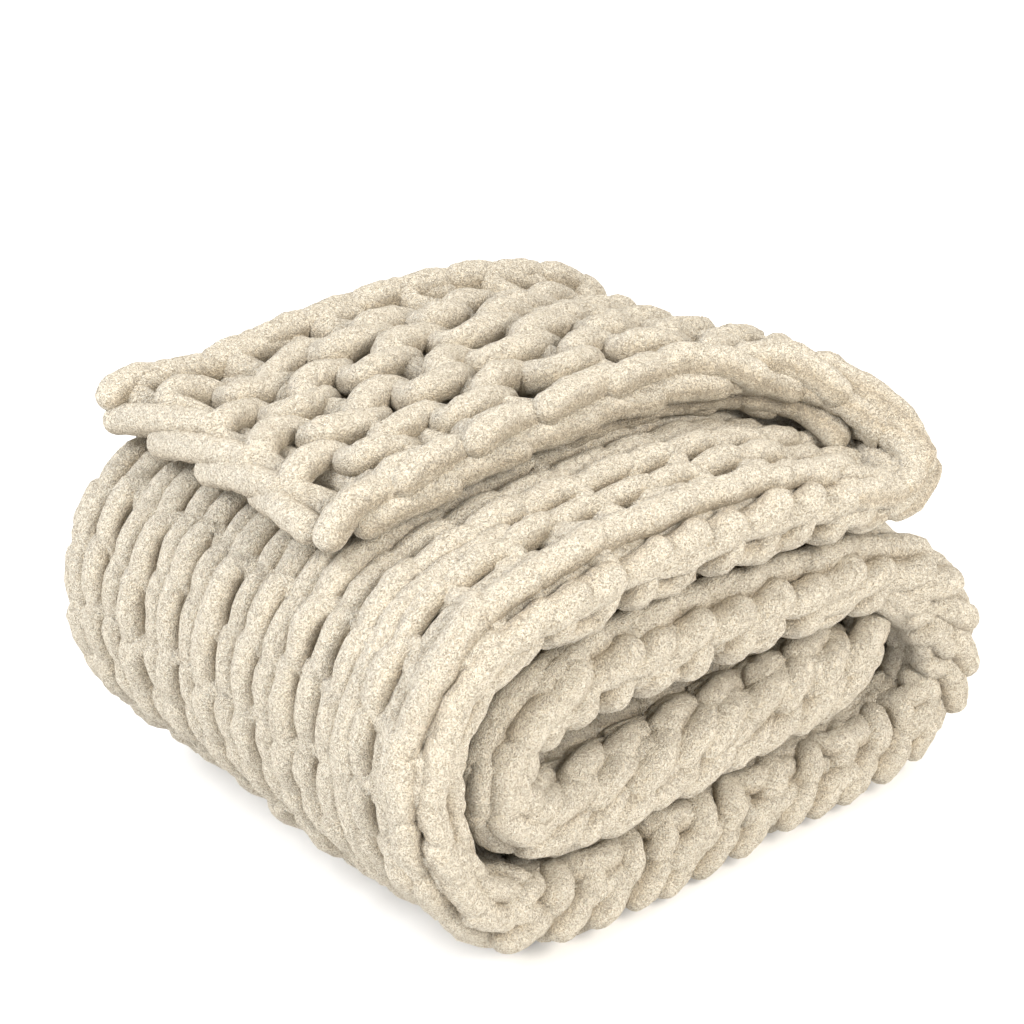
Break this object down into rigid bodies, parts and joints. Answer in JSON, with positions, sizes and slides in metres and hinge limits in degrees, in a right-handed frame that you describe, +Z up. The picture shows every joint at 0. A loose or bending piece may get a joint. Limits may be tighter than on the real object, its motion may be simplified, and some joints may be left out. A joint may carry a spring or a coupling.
{
  "type": "chunky knit blanket, doubled and rolled",
  "caption": "Cream chunky knit chenille blanket, doubled and rolled into a soft bundle with its loose end laid over the top.",
  "frame": {"origin": "bottom centre of the bundle's box, on the surface it lies on", "axes": "+X across the coiled end, away from the big outer fold; +Y along the roll, away from the coiled end whose flap is set back; +Z up"},
  "size_m": [0.55, 0.38, 0.3364],
  "materials": {
    "knit": "matt chenille pile, cream to oatmeal, darker in the gaps between the ropes of yarn"
  },
  "bodies": {
    "root": {"blanket": "knit"}
  },
  "joints": []
}
